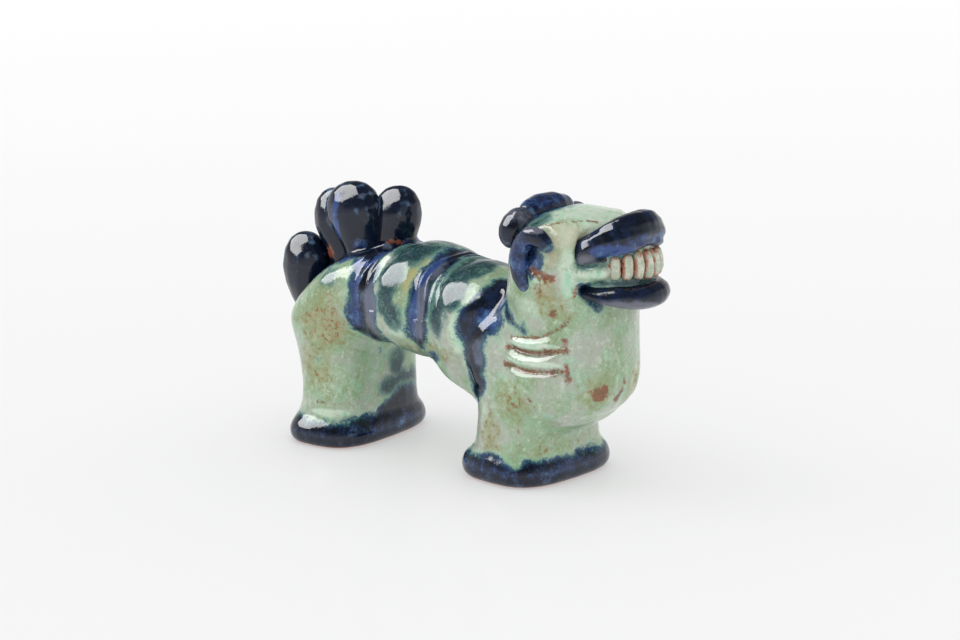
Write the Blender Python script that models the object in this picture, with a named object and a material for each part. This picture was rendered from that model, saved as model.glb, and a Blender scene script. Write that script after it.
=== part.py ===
"""Foo dog statue: a small hand-built, glazed terracotta guardian animal that stands on two leg slabs.

The animal faces -Y, +Z is up and its right side is -X. Lengths below are millimetres, and MM turns them
into metres. Y = 0 lies halfway between the feet while the pieces are modelled; settle() then moves the
whole statue so that its origin is the middle of its footprint, on the ground.
"""

import math

import bmesh
import bpy
from mathutils import Matrix, Vector

MM = 0.001
GAP = 0.3  # clearance between two pieces that touch
CUTTER_GROWTH = 0.36  # a cutter is its piece grown by this much, which leaves the gap on slanting faces too

# Driving dimensions of the body
FOOT_SPACING = 92.0  # between the centres of the front and rear feet
FOOT_HEIGHT = 10.5
LEG_BOTTOM = FOOT_HEIGHT + GAP
FRONT_FOOT_Y = -FOOT_SPACING / 2
REAR_FOOT_Y = FOOT_SPACING / 2
FRONT_FOOT_TURN = -5.2  # degrees about Z: the feet aren't quite square to the body
REAR_FOOT_TURN = 3.4
REAR_SEAM_Y = 19.0  # where rump and middle meet
FRONT_SEAM_Y = -10.0  # where middle and shoulder meet
NECK_SEAM_Z = 67.0  # where chest and head meet
BODY_SIDES = 24  # corners round each block of the body
BODY_POWER = 2.2  # superellipse power of the torso: 2 is an ellipse, higher is squarer
BLOCK_POWER = 2.8  # of the leg slabs
FOOT_POWER = 3.0
COLUMN_POWER = 2.5  # of the chest and head
CHEST_HALF_X = 27.7  # where the neck folds lie
CHEST_HALF_Y = 22.7
CHEST_Y = -63.0
SHOULDER_STATIONS = (  # (y, centre_z, half_x, half_z), from front to back
    (-50.0, 47.0, 25.0, 24.0),
    (-42.0, 50.0, 26.8, 26.0),
    (-32.0, 53.0, 27.8, 25.2),
    (-22.0, 55.8, 28.0, 23.8),
    (FRONT_SEAM_Y - GAP / 2, 58.8, 27.2, 21.6),
)

# Mouth
MOUTH_HINGE = Vector((0.0, -79.5, 84.5))  # middle of the corners of the mouth
UPPER_LIP_TILT = 30.0  # degrees the upper lip rises towards its tip
LOWER_LIP_TILT = -6.0
TOOTH_COUNT = 8
TOOTH_BOTTOM_Z = 83.6
TOOTH_TOP_Z = 94.0  # of the front teeth; those at the sides are shorter
TOOTH_ARC = 52.0  # degrees to each side of straight ahead that the row of teeth covers
TOOTH_ARC_Y = -79.4  # middle of the arc
TOOTH_ARC_HALF_X = 16.4
TOOTH_ARC_HALF_Y = 18.2
TOOTH_ROOT_WIDTH = 2.0  # half sizes of a tooth at its widest
TOOTH_ROOT_DEPTH = 2.4

# Head and tail
EAR_HALF_OUT = 3.4  # half thickness of the rolled strand
EAR_HALF_ACROSS = 3.6
EAR_DROP = {"right": 0.0, "left": 2.6}  # how much lower than the right ear each one sits
MANE_LOBE_TOP_Z = {"right": 105.2, "left": 102.0}

GLAZES = {
    "mint_glaze": ((0.36, 0.50, 0.36, 1.0), 0.12),
    "cobalt_glaze": ((0.012, 0.022, 0.085, 1.0), 0.08),
    "tooth_glaze": ((0.52, 0.56, 0.42, 1.0), 0.15),
}


# ---------------------------------------------------------------- basic tools


def clear_scene():
    for obj in list(bpy.data.objects):
        bpy.data.objects.remove(obj, do_unlink=True)


def glaze(name):
    material = bpy.data.materials.get(name)
    if material:
        return material
    colour, roughness = GLAZES[name]
    material = bpy.data.materials.new(name)
    material.use_nodes = True
    shader = material.node_tree.nodes["Principled BSDF"]
    shader.inputs["Base Color"].default_value = colour
    shader.inputs["Roughness"].default_value = roughness
    shader.inputs["Metallic"].default_value = 0.0
    material.diffuse_color = colour
    return material


def superellipse(half_u, half_v, power, sides):
    """Outline of a rounded block as (u, v) pairs, counter-clockwise from +u."""
    points = []
    for i in range(sides):
        angle = 2 * math.pi * i / sides
        cosine, sine = math.cos(angle), math.sin(angle)
        u = half_u * math.copysign(abs(cosine) ** (2 / power), cosine)
        v = half_v * math.copysign(abs(sine) ** (2 / power), sine)
        points.append((u, v))
    return points


def ring(centre, half_u, half_v, power, u_axis, v_axis, sides=BODY_SIDES):
    """A superellipse outline placed in space, in the plane of the two axes."""
    centre = Vector(centre)
    return [centre + u * u_axis + v * v_axis for u, v in superellipse(half_u, half_v, power, sides)]


def mesh_object(name, rings, material, start_pole=None, end_pole=None):
    """A closed skin over a row of rings. An end without a pole is a flat cap."""
    build = bmesh.new()
    rows = [[build.verts.new(point * MM) for point in points] for points in rings]
    sides = len(rows[0])
    for lower, upper in zip(rows, rows[1:]):
        for i in range(sides):
            j = (i + 1) % sides
            build.faces.new((lower[i], lower[j], upper[j], upper[i]))
    for row, pole in ((rows[0], start_pole), (rows[-1], end_pole)):
        if pole is None:
            build.faces.new(row)
            continue
        tip = build.verts.new(Vector(pole) * MM)
        for i in range(sides):
            build.faces.new((row[i], row[(i + 1) % sides], tip))
    return finish_mesh(name, build, material)


def finish_mesh(name, build, material):
    bmesh.ops.recalc_face_normals(build, faces=build.faces)
    if build.calc_volume(signed=True) < 0:
        bmesh.ops.reverse_faces(build, faces=build.faces)
    mesh = bpy.data.meshes.new(name)
    build.to_mesh(mesh)
    build.free()
    mesh.materials.append(glaze(material))
    mesh.shade_smooth()
    mesh.set_sharp_from_angle(angle=math.radians(50))
    obj = bpy.data.objects.new(name, mesh)
    bpy.context.scene.collection.objects.link(obj)
    return obj


def stack(name, levels, power, material, turn=0.0, top_pole=None, sides=BODY_SIDES):
    """A block built upwards from levels of (z, half_x, half_y, centre_y)."""
    spin = Matrix.Rotation(math.radians(turn), 3, "Z")
    u_axis, v_axis = spin @ Vector((1, 0, 0)), spin @ Vector((0, 1, 0))
    rings = []
    for z, half_x, half_y, y in levels:
        rings.append(ring((0, y, z), half_x, half_y, power, u_axis, v_axis, sides))
    return mesh_object(name, rings, material, end_pole=top_pole)


def barrel(name, stations, material, front_pole=None, rear_pole=None):
    """A length of torso built along Y from stations of (y, centre_z, half_x, half_z)."""
    x_axis, z_axis = Vector((1, 0, 0)), Vector((0, 0, 1))
    rings = []
    for y, z, half_x, half_z in stations:
        rings.append(ring((0, y, z), half_x, half_z, BODY_POWER, x_axis, z_axis))
    return mesh_object(name, rings, material, start_pole=front_pole, end_pole=rear_pole)


def smooth_path(points, steps):
    """Points on a Catmull-Rom curve through the given ones."""
    points = [Vector(point) for point in points]
    padded = [2 * points[0] - points[1]] + points + [2 * points[-1] - points[-2]]
    path = []
    for k in range(len(points) - 1):
        a, b, c, d = padded[k : k + 4]
        slope = c - a
        bend = 2 * a - 5 * b + 4 * c - d
        twist = 3 * b - a - 3 * c + d
        for step in range(steps):
            t = step / steps
            path.append(b + 0.5 * (slope * t + bend * t**2 + twist * t**3))
    path.append(points[-1])
    return path


def coil(name, path, radii, outward, material, sides=10):
    """A rolled strand along a path.

    radii(t) gives (half_out, half_across), and outward(point) says which way is out.
    """
    rings = []
    last = len(path) - 1
    for k, point in enumerate(path):
        along = (path[min(k + 1, last)] - path[max(k - 1, 0)]).normalized()
        out = outward(point)
        out = (out - along * out.dot(along)).normalized()
        across = along.cross(out)
        half_out, half_across = radii(k / last)
        rings.append(ring(point, half_out, half_across, 2.0, out, across, sides))
    first_pole = path[0] + (path[0] - path[1]).normalized() * radii(0)[0] * 0.6
    last_pole = path[-1] + (path[-1] - path[-2]).normalized() * radii(1)[0] * 0.6
    return mesh_object(name, rings, material, start_pole=first_pole, end_pole=last_pole)


def loop_coil(name, path, half_out, half_across, outward, along_axis, material, sides=6):
    """A rolled strand whose ends meet, so that it closes into a hoop."""
    build = bmesh.new()
    rows = []
    for point in path:
        points = ring(point, half_out, half_across, 2.0, outward(point), along_axis, sides)
        rows.append([build.verts.new(p * MM) for p in points])
    for k, row in enumerate(rows):
        following = rows[(k + 1) % len(rows)]
        for i in range(sides):
            j = (i + 1) % sides
            build.faces.new((row[i], row[j], following[j], following[i]))
    return finish_mesh(name, build, material)


def petal(name, root, tip, half_width, half_depth, side, profile, material, sides=14):
    """A pinched lobe from root to tip. profile lists (share of the length, share of the full girth)."""
    root, tip = Vector(root), Vector(tip)
    along = (tip - root).normalized()
    across = (Vector(side) - along * Vector(side).dot(along)).normalized()
    through = along.cross(across)
    length = (tip - root).length
    rings = [
        ring(root + along * length * t, half_width * s, half_depth * s, 2.2, across, through, sides)
        for t, s in profile
    ]
    return mesh_object(name, rings, material, end_pole=tip)


def cutter_of(obj):
    """The piece grown by the clearance, as a hidden cutting tool."""
    name = "cutter_" + obj.name
    if name in bpy.data.objects:
        return bpy.data.objects[name]
    mesh = obj.data.copy()
    mesh.name = name
    normals = [vertex.normal.copy() for vertex in mesh.vertices]
    for vertex, normal in zip(mesh.vertices, normals):
        vertex.co += normal * CUTTER_GROWTH * MM
    tool = bpy.data.objects.new(name, mesh)
    tool.hide_render = True
    tool.display_type = "WIRE"
    bpy.context.scene.collection.objects.link(tool)
    return tool


def seat(obj, *neighbours):
    """Cuts the seats of its neighbours out of a piece."""
    for neighbour in neighbours:
        modifier = obj.modifiers.new("seat_" + neighbour.name, "BOOLEAN")
        modifier.operation = "DIFFERENCE"
        modifier.solver = "EXACT"
        modifier.object = cutter_of(neighbour)


def mirrored(vector):
    return Vector((-vector[0], vector[1], vector[2]))


def both_sides(make):
    """Makes a piece for the right side (-X) and its mirror image for the left side."""
    return make("right", lambda p: Vector(p)), make("left", mirrored)


# ---------------------------------------------------------------- legs and feet


def make_feet():
    front = stack(
        "front_foot",
        [
            (0.0, 28.6, 20.9, FRONT_FOOT_Y),
            (1.6, 29.9, 22.2, FRONT_FOOT_Y),
            (4.6, 30.3, 22.6, FRONT_FOOT_Y),
            (7.6, 29.7, 22.0, FRONT_FOOT_Y),
            (FOOT_HEIGHT, 28.0, 20.2, FRONT_FOOT_Y),
        ],
        FOOT_POWER,
        "cobalt_glaze",
        FRONT_FOOT_TURN,
    )
    rear = stack(
        "rear_foot",
        [
            (0.0, 31.4, 19.0, REAR_FOOT_Y),
            (1.6, 32.5, 20.1, REAR_FOOT_Y),
            (4.6, 32.9, 20.5, REAR_FOOT_Y),
            (7.6, 32.0, 19.7, REAR_FOOT_Y),
            (FOOT_HEIGHT, 29.2, 17.8, REAR_FOOT_Y),
        ],
        FOOT_POWER,
        "cobalt_glaze",
        REAR_FOOT_TURN,
    )
    return front, rear


def make_leg_slabs():
    front = stack(
        "front_leg_slab",
        [
            (LEG_BOTTOM, 27.8, 20.0, FRONT_FOOT_Y),
            (16.0, 26.8, 19.0, FRONT_FOOT_Y - 0.5),
            (24.0, 26.6, 18.8, FRONT_FOOT_Y - 1.0),
            (32.0, 26.8, 18.2, FRONT_FOOT_Y - 1.0),
            (38.0, 23.5, 15.0, FRONT_FOOT_Y - 1.0),
            (41.0, 15.0, 9.0, FRONT_FOOT_Y - 1.0),
        ],
        BLOCK_POWER,
        "mint_glaze",
    )
    rear = stack(
        "rear_leg_slab",
        [
            (LEG_BOTTOM, 28.8, 17.6, REAR_FOOT_Y),
            (16.0, 26.8, 16.8, REAR_FOOT_Y - 0.6),
            (24.0, 26.4, 16.8, REAR_FOOT_Y - 0.8),
            (34.0, 27.0, 17.6, REAR_FOOT_Y),
            (44.0, 28.0, 19.0, REAR_FOOT_Y + 0.8),
            (50.0, 26.0, 17.0, REAR_FOOT_Y + 0.4),
            (56.0, 20.0, 12.0, REAR_FOOT_Y - 0.5),
            (59.0, 12.0, 7.0, REAR_FOOT_Y - 1.0),
        ],
        BLOCK_POWER,
        "mint_glaze",
    )
    return front, rear


# ---------------------------------------------------------------- torso


def make_torso():
    half_gap = GAP / 2
    rump = barrel(
        "torso_rump",
        [
            (REAR_SEAM_Y + half_gap, 62.5, 28.0, 21.0),
            (27.0, 62.0, 28.6, 20.8),
            (35.0, 60.8, 28.8, 20.3),
            (43.0, 59.4, 28.8, 19.0),
            (51.0, 56.4, 28.0, 16.2),
            (58.0, 52.6, 26.0, 12.4),
            (63.5, 49.8, 22.0, 8.8),
            (67.2, 48.6, 14.0, 5.0),
        ],
        "mint_glaze",
        rear_pole=(0, 68.6, 48.4),
    )
    middle = barrel(
        "torso_middle",
        [
            (FRONT_SEAM_Y + half_gap, 59.2, 27.4, 21.4),
            (-2.0, 60.8, 28.4, 22.0),
            (5.0, 62.0, 28.6, 22.4),
            (12.0, 62.4, 28.4, 22.0),
            (REAR_SEAM_Y - half_gap, 62.2, 27.8, 20.8),
        ],
        "mint_glaze",
    )
    shoulder = barrel("torso_shoulder", SHOULDER_STATIONS, "mint_glaze")
    return rump, middle, shoulder


def make_seam_hoop(name, seam_y, centre_z, half_x, half_z):
    """A rolled strand of clay pressed over the joint of two torso pieces."""
    centre = Vector((0, seam_y, centre_z))
    path = ring(centre, half_x, half_z, BODY_POWER, Vector((1, 0, 0)), Vector((0, 0, 1)))

    def outward(point):
        away = point - centre
        return Vector((away.x / half_x**2, 0, away.z / half_z**2)).normalized()

    return loop_coil(name, path, 2.0, 3.2, outward, Vector((0, 1, 0)), "cobalt_glaze")


def shoulder_half_width(y, z):
    """Half the width of the shoulder at a height, from its two nearest stations."""
    for (y0, z0, x0, h0), (y1, z1, x1, h1) in zip(SHOULDER_STATIONS, SHOULDER_STATIONS[1:]):
        if y0 <= y <= y1:
            t = (y - y0) / (y1 - y0)
            centre_z, half_x, half_z = z0 + (z1 - z0) * t, x0 + (x1 - x0) * t, h0 + (h1 - h0) * t
            height = min(abs(z - centre_z) / half_z, 0.999)
            return half_x * (1 - height**BODY_POWER) ** (1 / BODY_POWER)
    raise ValueError(f"no shoulder at y = {y}")


def make_shoulder_strand(side, place):
    """The strand that runs down each shoulder from the neck to the back of the front leg."""
    route = ((-45.0, 72.0), (-37.5, 65.0), (-31.0, 55.0), (-28.5, 44.0), (-30.0, 35.0))
    path = [place(p) for p in smooth_path([(-shoulder_half_width(y, z), y, z) for y, z in route], 3)]

    def outward(point):
        return Vector((point.x, 0, 0.25 * (point.z - 50.0))).normalized()

    def radii(t):
        swell = 0.55 + 0.45 * math.sin(math.pi * min(max(t, 0.06), 0.94))
        return 1.9 * swell, 4.4 * swell

    return coil("shoulder_strand_" + side, path, radii, outward, "cobalt_glaze", 8)


# ---------------------------------------------------------------- chest and head


def make_column():
    """The chest, which bulges out over the front leg, and the head on top of it."""
    chest = stack(
        "chest",
        [
            (21.5, 10.0, 6.5, -67.0),
            (23.5, 16.5, 11.5, -66.6),
            (27.5, 22.6, 17.0, -65.6),
            (33.0, 25.8, 20.8, -64.4),
            (40.0, 27.2, 22.4, -63.4),
            (50.0, 27.8, 22.8, -63.0),
            (60.0, 27.6, 22.6, -63.0),
            (NECK_SEAM_Z - GAP / 2, 27.2, 22.4, -63.2),
        ],
        COLUMN_POWER,
        "mint_glaze",
    )
    head = stack(
        "head",
        [
            (NECK_SEAM_Z + GAP / 2, 27.2, 22.4, -63.2),
            (76.0, 27.0, 22.4, -63.8),
            (86.0, 27.0, 22.6, -64.2),
            (94.0, 26.6, 22.4, -64.4),
            (99.0, 25.0, 20.8, -64.2),
            (102.4, 21.8, 17.6, -63.2),
            (104.6, 16.6, 13.2, -61.4),
            (106.0, 9.0, 7.0, -59.0),
        ],
        COLUMN_POWER,
        "mint_glaze",
        top_pole=(0, -57.8, 106.4),
    )
    return chest, head


def chest_half_width(y):
    """Half the width of the chest where the neck folds lie."""
    off = abs(y - CHEST_Y) / CHEST_HALF_Y
    return CHEST_HALF_X * (1 - off**COLUMN_POWER) ** (1 / COLUMN_POWER)


def make_neck_folds():
    """Three soft folds across each side of the chest, one above another."""
    folds = []
    heights = (  # back, middle and front of each
        (61.5, 60.4, 64.4),
        (55.6, 53.6, 55.8),
        (48.8, 46.8, 48.6),
    )
    for level, (z_back, z_middle, z_front) in enumerate(heights, 1):

        def make(side, place):
            route = (
                (-48.0, z_back),
                (-55.5, z_middle),
                (-64.0, z_middle - 0.4),
                (-72.0, z_middle + 0.6),
                (-77.5, z_front),
            )
            path = [place(p) for p in smooth_path([(-chest_half_width(y), y, z) for y, z in route], 2)]

            def outward(point):
                return Vector((point.x, 0.9 * (point.y - CHEST_Y), 0)).normalized()

            def radii(t):
                swell = 0.4 + 0.6 * math.sin(math.pi * t)
                return 1.8 * swell, 3.0 * swell

            return coil(f"neck_fold_{level}_{side}", path, radii, outward, "mint_glaze", 6)

        folds.extend(both_sides(make))
    return folds


# ---------------------------------------------------------------- mouth


def lip_path(tilt, half_width, reach, lift):
    """A horseshoe round the front of the muzzle, tilted about the corners of the mouth."""
    turn = Matrix.Rotation(math.radians(tilt), 3, "X")
    points = []
    count = 16
    for k in range(count + 1):
        angle = math.pi * k / count
        x = -half_width * math.cos(angle)
        y = -reach * math.sin(angle) ** 0.8
        points.append(MOUTH_HINGE + turn.inverted() @ Vector((x, y, lift)))
    return points


def make_lips():
    def outward(point):
        return Vector((point.x * 0.9, point.y - MOUTH_HINGE.y + 4.0, 0)).normalized()

    upper = coil(
        "upper_lip",
        lip_path(UPPER_LIP_TILT, 15.2, 20.4, 6.9),
        lambda t: (4.8 + 1.0 * math.sin(math.pi * t), 6.3 + 0.7 * math.sin(math.pi * t)),
        outward,
        "cobalt_glaze",
        10,
    )
    lower = coil(
        "lower_lip",
        lip_path(LOWER_LIP_TILT, 15.4, 19.0, -6.2),
        lambda t: (4.0 + 0.8 * math.sin(math.pi * t), 2.6 + 1.8 * math.sin(math.pi * t)),
        outward,
        "cobalt_glaze",
        10,
    )
    return upper, lower


def make_gum():
    """The solid mass between the lips, which carries the teeth and closes the mouth."""
    return stack(
        "gum",
        [
            (75.0, 12.5, 12.0, -79.0),
            (79.0, 15.4, 16.0, -79.0),
            (86.0, 16.4, 18.0, -79.0),
            (93.0, 15.8, 17.8, -79.0),
            (98.0, 12.5, 13.5, -79.0),
        ],
        2.5,
        "mint_glaze",
        sides=24,
    )


def make_teeth():
    teeth = []
    for k in range(TOOTH_COUNT):
        angle = math.radians(TOOTH_ARC * (2 * k / (TOOTH_COUNT - 1) - 1))
        away = Vector((math.sin(angle), -math.cos(angle), 0))
        centre = Vector((TOOTH_ARC_HALF_X * away.x, TOOTH_ARC_Y + TOOTH_ARC_HALF_Y * away.y, 0))
        root = centre + Vector((0, 0, TOOTH_BOTTOM_Z))
        tip = centre + Vector((0, 0, TOOTH_TOP_Z - 3.0 * away.x**2)) - away * 0.4
        profile = ((0.0, 0.66), (0.2, 1.0), (0.66, 0.96), (0.92, 0.62))
        side = away.cross(Vector((0, 0, 1)))
        teeth.append(
            petal(
                f"tooth_{k + 1}",
                root,
                tip,
                TOOTH_ROOT_WIDTH,
                TOOTH_ROOT_DEPTH,
                side,
                profile,
                "tooth_glaze",
                8,
            )
        )
    return teeth


# ---------------------------------------------------------------- ears, mane and tail


def make_ear(side, place):
    """A rolled strand bent into a C that opens forwards and down."""
    points = [
        (-27.0, -70.8, 94.6),
        (-27.4, -67.0, 98.2),
        (-27.2, -62.0, 98.6),
        (-26.0, -57.4, 94.6),
        (-25.4, -55.8, 88.6),
        (-25.2, -57.0, 82.6),
        (-25.4, -59.6, 78.4),
    ]
    path = [place(p) - Vector((0, 0, EAR_DROP[side])) for p in smooth_path(points, 2)]

    def outward(point):
        return Vector((math.copysign(1, point.x), 0, 0))

    def thickness(t):
        return min(1.0, 0.65 + 2.0 * t, 0.75 + 1.5 * (1 - t))

    return coil(
        "ear_" + side,
        path,
        lambda t: (EAR_HALF_OUT * thickness(t), EAR_HALF_ACROSS * thickness(t)),
        outward,
        "cobalt_glaze",
        8,
    )


def make_mane():
    """Three lobes in a ridge across the back of the head."""
    profile = ((0.0, 0.5), (0.14, 0.8), (0.36, 1.0), (0.62, 0.98), (0.82, 0.76), (0.94, 0.44))
    top = petal(
        "mane_top",
        (-16.5, -51.0, 103.4),
        (15.0, -51.0, 103.4),
        6.8,
        6.4,
        (0, 0, 1),
        profile,
        "cobalt_glaze",
    )

    def make(side, place):
        return petal(
            "mane_lobe_" + side,
            place((-15.6, -51.0, MANE_LOBE_TOP_Z[side])),
            place((-24.4, -49.0, 92.6)),
            5.8,
            6.0,
            (0, 1, 0),
            profile,
            "cobalt_glaze",
        )

    return (top, *both_sides(make))


def make_tail():
    """Thick pinched lobes that fan out along the rump, on a flattened pad."""
    fat = ((0.0, 0.42), (0.14, 0.66), (0.34, 0.9), (0.56, 1.0), (0.76, 0.92), (0.9, 0.66), (0.97, 0.36))
    rump_side = (0, 1, 0)
    lobes = (  # (name, root, tip, half sizes, which way the first half size points)
        ("front", (4, 29.2, 82.0), (5, 26.5, 104.5), 9.6, 8.4, rump_side),
        ("centre", (-3, 39.2, 80.4), (-6, 45.8, 105.6), 12.0, 9.4, rump_side),
        ("rear", (0, 49.0, 74.4), (-2, 58.6, 101.5), 10.2, 8.6, (0, 1, -0.4)),
        ("low", (-5, 69.0, 50.5), (-7, 67.5, 83.0), 10.4, 8.8, rump_side),
    )
    front, centre, rear, low = (
        petal("tail_lobe_" + name, root, tip, half_along, half_across, side, fat, "cobalt_glaze")
        for name, root, tip, half_along, half_across, side in lobes
    )
    pad = petal(
        "tail_pad",
        (0, 24.0, 81.6),
        (0, 62.0, 62.0),
        13.0,
        5.2,
        (1, 0, 0),
        ((0.0, 0.5), (0.12, 0.8), (0.35, 1.0), (0.65, 1.0), (0.88, 0.8), (0.97, 0.5)),
        "cobalt_glaze",
        20,
    )
    return front, centre, rear, low, pad


# ---------------------------------------------------------------- assembly


def settle(pieces):
    """Hangs every piece on one empty, placed so that the footprint's middle is the origin."""
    corners = [Vector(c) for piece in pieces for c in piece.bound_box]
    middle_x = (min(c.x for c in corners) + max(c.x for c in corners)) / 2
    middle_y = (min(c.y for c in corners) + max(c.y for c in corners)) / 2
    root = bpy.data.objects.new("foo_dog_statue", None)
    bpy.context.scene.collection.objects.link(root)
    root.location = (-middle_x, -middle_y, 0)
    cutters = [obj for obj in bpy.data.objects if obj.name.startswith("cutter_")]
    for obj in list(pieces) + cutters:
        obj.parent = root


def main():
    clear_scene()
    front_foot, rear_foot = make_feet()
    front_leg, rear_leg = make_leg_slabs()
    rump, middle, shoulder = make_torso()
    rear_hoop = make_seam_hoop("seam_hoop_rear", REAR_SEAM_Y, 62.3, 27.2, 20.3)
    front_hoop = make_seam_hoop("seam_hoop_front", FRONT_SEAM_Y, 59.0, 26.6, 20.9)
    strands = both_sides(make_shoulder_strand)
    chest, head = make_column()
    folds = make_neck_folds()
    upper_lip, lower_lip = make_lips()
    gum = make_gum()
    teeth = make_teeth()
    ears = both_sides(make_ear)
    mane_top, mane_right, mane_left = make_mane()
    tail_front, tail_centre, tail_rear, tail_low, tail_pad = make_tail()

    seat(rump, tail_low, rear_leg, rear_hoop, tail_pad)
    seat(middle, rear_hoop, front_hoop)
    seat(shoulder, front_hoop, front_leg, chest, head, *strands, *folds)
    seat(front_leg, chest)
    seat(chest, *strands, *folds)
    seat(head, gum, upper_lip, lower_lip, mane_top, mane_right, mane_left, *ears, *strands)
    seat(gum, *teeth)
    seat(upper_lip, gum)
    seat(lower_lip, gum)
    seat(mane_top, mane_right, mane_left)
    seat(tail_pad, tail_front, tail_centre, tail_rear, tail_low)
    seat(tail_rear, tail_centre, tail_low)
    seat(tail_front, tail_centre, rear_hoop)

    pieces = [obj for obj in bpy.data.objects if not obj.hide_render]
    settle(pieces)


main()
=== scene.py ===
"""Foo dog statue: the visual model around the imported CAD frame.

The CAD nodes are turned into distance fields in millimetres and melted into each other as wet clay is, with
a few strands smeared into the corners. The folds, seams and dents of the hand that made them are pressed in,
and the result is meshed.
Work coordinates are millimetres with +Z up and the animal facing -Y; Y = 0 lies halfway between the feet.
"""

import math

import bpy
import numpy as np
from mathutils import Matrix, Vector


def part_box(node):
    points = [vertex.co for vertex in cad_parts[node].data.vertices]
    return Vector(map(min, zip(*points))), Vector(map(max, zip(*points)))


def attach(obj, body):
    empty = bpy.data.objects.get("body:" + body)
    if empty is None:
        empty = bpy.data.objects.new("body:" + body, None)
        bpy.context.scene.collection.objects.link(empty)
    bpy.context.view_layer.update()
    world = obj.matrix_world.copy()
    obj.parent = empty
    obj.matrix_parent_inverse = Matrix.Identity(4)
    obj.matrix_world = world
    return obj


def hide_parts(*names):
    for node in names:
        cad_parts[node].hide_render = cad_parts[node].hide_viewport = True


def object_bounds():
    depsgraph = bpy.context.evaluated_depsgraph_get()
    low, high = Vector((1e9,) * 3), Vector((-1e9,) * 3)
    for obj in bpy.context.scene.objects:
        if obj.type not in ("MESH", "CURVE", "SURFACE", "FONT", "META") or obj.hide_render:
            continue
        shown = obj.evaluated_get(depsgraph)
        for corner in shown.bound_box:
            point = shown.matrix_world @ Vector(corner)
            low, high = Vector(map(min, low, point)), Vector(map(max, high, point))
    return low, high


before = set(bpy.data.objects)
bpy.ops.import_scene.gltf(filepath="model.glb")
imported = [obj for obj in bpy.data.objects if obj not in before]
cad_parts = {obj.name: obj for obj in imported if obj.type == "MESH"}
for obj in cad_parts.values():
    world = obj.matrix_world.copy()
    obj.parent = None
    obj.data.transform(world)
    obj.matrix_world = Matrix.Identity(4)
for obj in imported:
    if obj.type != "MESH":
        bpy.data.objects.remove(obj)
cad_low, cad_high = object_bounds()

import openvdb as vdb
from mathutils import Vector

MM = 0.001
BODY_VOXEL = 0.6
PIECE_VOXEL = 0.45
REACH = 12  # voxels on each side of a surface for which distances are known
SKIN = 5.0  # mm on each side of the surface in which clay marks are made
MOUTH_Y = -79.5  # centre of the arcs that the lips follow
TOOTH_ARC_Y = -79.4  # centre of the arc that the teeth stand on
TEETH = 8


def middle_y(node):
    low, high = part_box(node)
    return (low.y + high.y) / 2 / MM


WORK_Y = (middle_y("front_foot") + middle_y("rear_foot")) / 2  # row frame Y of work Y = 0


# ---------------------------------------------------------------- distance fields


class Block:
    """A box of samples of distances in mm, negative inside the clay."""

    def __init__(self, low, high, voxel):
        self.voxel = voxel
        self.first = np.floor(np.array(low) / voxel).astype(int)
        self.shape = tuple(int(n) for n in np.ceil(np.array(high) / voxel).astype(int) - self.first + 1)
        self.values = np.full(self.shape, REACH * voxel, np.float32)

    def corner(self):
        return tuple(int(n) for n in self.first)

    def node(self, name):
        """Distances to a CAD node."""
        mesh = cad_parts[name].data
        mesh.calc_loop_triangles()
        points = np.empty(len(mesh.vertices) * 3, np.float32)
        mesh.vertices.foreach_get("co", points)
        points = points.reshape(-1, 3) / MM
        points[:, 1] -= WORK_Y
        triangles = np.empty(len(mesh.loop_triangles) * 3, np.int32)
        mesh.loop_triangles.foreach_get("vertices", triangles)
        level_set = vdb.FloatGrid.createLevelSetFromPolygons(
            points,
            triangles=triangles.reshape(-1, 3).astype(np.uint32),
            transform=vdb.createLinearTransform(voxelSize=self.voxel),
            halfWidth=float(REACH),
        )
        values = np.empty(self.shape, np.float32)
        level_set.copyToArray(values, ijk=self.corner())
        return values

    def melt_in(self, part, offset, width):
        """Joins another block's clay, shrunk by the offset, to this one."""
        start = np.maximum(part.first - self.first, 0)
        end = np.minimum(part.first - self.first + part.shape, self.shape)
        here = tuple(slice(int(a), int(b)) for a, b in zip(start, end))
        shift = self.first - part.first
        there = tuple(slice(int(a), int(b)) for a, b in zip(start + shift, end + shift))
        self.values[here] = melt(self.values[here], part.values[there] + offset, width)

    def near(self, distance):
        """Indices and positions of the samples near the surface."""
        index = np.nonzero(np.abs(self.values) < distance)
        points = (np.stack(index, 1) + self.first) * self.voxel
        return index, points.astype(np.float32)

    def mesh(self, name):
        """The surface as a smooth closed mesh object, in the row frame."""
        grid = vdb.FloatGrid(REACH * self.voxel)
        grid.copyFromArray(self.values, ijk=self.corner(), tolerance=0.0)
        grid.transform = vdb.createLinearTransform(voxelSize=self.voxel)
        points, quads = grid.convertToQuads(0.0)
        points = np.asarray(points, np.float64)
        quads = np.asarray(quads, np.int64)
        a, b, c, d = (points[quads[:, k]] for k in range(4))
        volume = (np.cross(b - a, c - a) * a).sum() + (np.cross(c - a, d - a) * a).sum()
        if volume < 0:
            quads = quads[:, ::-1]
        mesh = bpy.data.meshes.new(name)
        mesh.vertices.add(len(points))
        mesh.loops.add(quads.size)
        mesh.polygons.add(len(quads))
        placed = (points + (0, WORK_Y, 0)) * MM
        mesh.vertices.foreach_set("co", placed.astype(np.float32).ravel())
        mesh.loops.foreach_set("vertex_index", quads.astype(np.int32).ravel())
        mesh.polygons.foreach_set("loop_start", np.arange(0, quads.size, 4, dtype=np.int32))
        mesh.polygons.foreach_set("use_smooth", np.ones(len(quads), bool))
        mesh.update(calc_edges=True)
        mesh.validate()
        obj = bpy.data.objects.new(name, mesh)
        bpy.context.scene.collection.objects.link(obj)
        return obj, points.astype(np.float32)


def melt(a, b, width):
    """Union of two fields, with a fillet of that width where they meet."""
    h = np.clip(0.5 + 0.5 * (b - a) / width, 0, 1)
    return b + (a - b) * h - width * h * (1 - h)


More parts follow.
